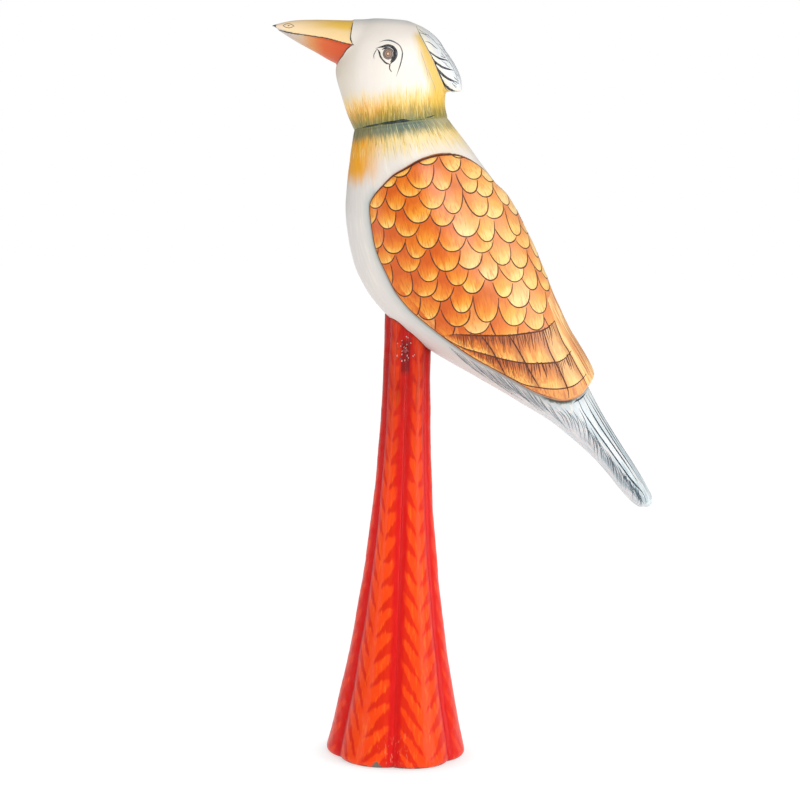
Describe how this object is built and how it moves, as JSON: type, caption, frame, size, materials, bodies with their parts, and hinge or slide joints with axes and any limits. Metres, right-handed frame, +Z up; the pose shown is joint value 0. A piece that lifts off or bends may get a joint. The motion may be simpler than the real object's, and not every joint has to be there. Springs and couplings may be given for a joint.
{
  "type": "carved wooden bird figurine",
  "caption": "Hand-carved, hand-painted wooden bird with orange feathered wings, standing on a fluted, flared red column.",
  "frame": {"origin": "centre of the column's flat underside", "axes": "+Z up through the column, -X the way the bird faces, +Y the bird's right side"},
  "size_m": [0.1627, 0.0542, 0.3046],
  "materials": {
    "column_lacquer": "glossy red and orange brushwork under lacquer",
    "body_paint": "satin, brush-painted",
    "wing_paint": "satin, brush-painted feathers",
    "dowel_wood": "bare, sanded",
    "nail_steel": "bright drawn wire",
    "filler": "glossy filler under lacquer"
  },
  "bodies": {
    "root": {"column_stand": "column_lacquer", "body_with_tail": "body_paint", "head_with_beak": "body_paint", "neck_dowel": "dowel_wood", "stand_dowel": "dowel_wood", "stand_nail": "nail_steel", "nail_hole_filler": "filler"}
  },
  "joints": []
}
